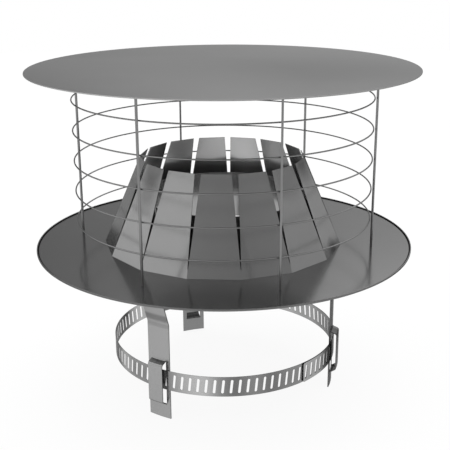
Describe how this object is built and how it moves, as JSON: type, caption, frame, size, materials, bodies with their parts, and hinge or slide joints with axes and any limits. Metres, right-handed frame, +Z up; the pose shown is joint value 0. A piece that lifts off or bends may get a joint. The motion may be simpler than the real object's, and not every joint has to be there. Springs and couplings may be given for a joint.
{
  "type": "chimney cowl",
  "caption": "Round flue cowl: flat lid over a wire cage and a slit tapered sheet cone, on a lipped base plate with strap legs and a worm-drive band that clamp to a round pot.",
  "frame": {"origin": "centre of the flue opening on the underside of the base plate", "axes": "+Z up through the lid's centre, -Y towards the pictured front, +X to the right as pictured"},
  "size_m": [0.3999, 0.4, 0.344],
  "materials": {
    "lid_sheet": "satin rolled stainless sheet",
    "base_sheet": "satin rolled stainless sheet",
    "collar_sheet": "satin rolled stainless sheet",
    "cone_sheet": "satin rolled stainless sheet",
    "cage_wire": "drawn stainless wire",
    "cage_bar_steel": "drawn stainless square bar",
    "leg_strap": "satin stainless strap",
    "band_strip": "bright satin stainless strip",
    "drive_steel": "pressed stainless strip",
    "screw_steel": "zinc-plated steel screw"
  },
  "bodies": {
    "cowl": {"lid": "lid_sheet", "base_plate": "base_sheet", "flue_collar": "collar_sheet", "slit_cone": "cone_sheet", "cage_ring_1": "cage_wire", "cage_ring_2": "cage_wire", "cage_ring_3": "cage_wire", "cage_ring_4": "cage_wire", "cage_ring_5": "cage_wire", "cage_bar_front_right": "cage_bar_steel", "cage_bar_right": "cage_bar_steel", "cage_bar_back_right": "cage_bar_steel", "cage_bar_back_left": "cage_bar_steel", "cage_bar_left": "cage_bar_steel", "cage_bar_front_left": "cage_bar_steel", "leg_front_left": "leg_strap", "leg_right": "leg_strap", "leg_back_left": "leg_strap"},
    "clamp": {"clamp_band": "band_strip", "worm_saddle": "drive_steel", "worm_housing": "drive_steel"},
    "band_tail": {"clamp_tail": "band_strip"},
    "screw": {"worm_screw": "screw_steel"}
  },
  "joints": [
    {"name": "band_turn", "type": "hinge", "parent": "cowl", "child": "clamp", "pos_m": [0, 0, 0], "axis": [0, 0, 1], "range_deg": [-68, 18]},
    {"name": "tail_feed", "type": "hinge", "parent": "clamp", "child": "band_tail", "pos_m": [0, 0, 0], "axis": [0, 0, -1], "range_deg": [-3.79, 3.79]},
    {"name": "screw_turn", "type": "hinge", "parent": "clamp", "child": "screw", "pos_m": [0.03458, 0.12179, -0.1143], "axis": [-0.962, 0.2732, 0], "range_deg": [-360, 360]}
  ],
  "couplings": [
    {"joint": "screw_turn", "follows": "tail_feed", "ratio": 95}
  ]
}
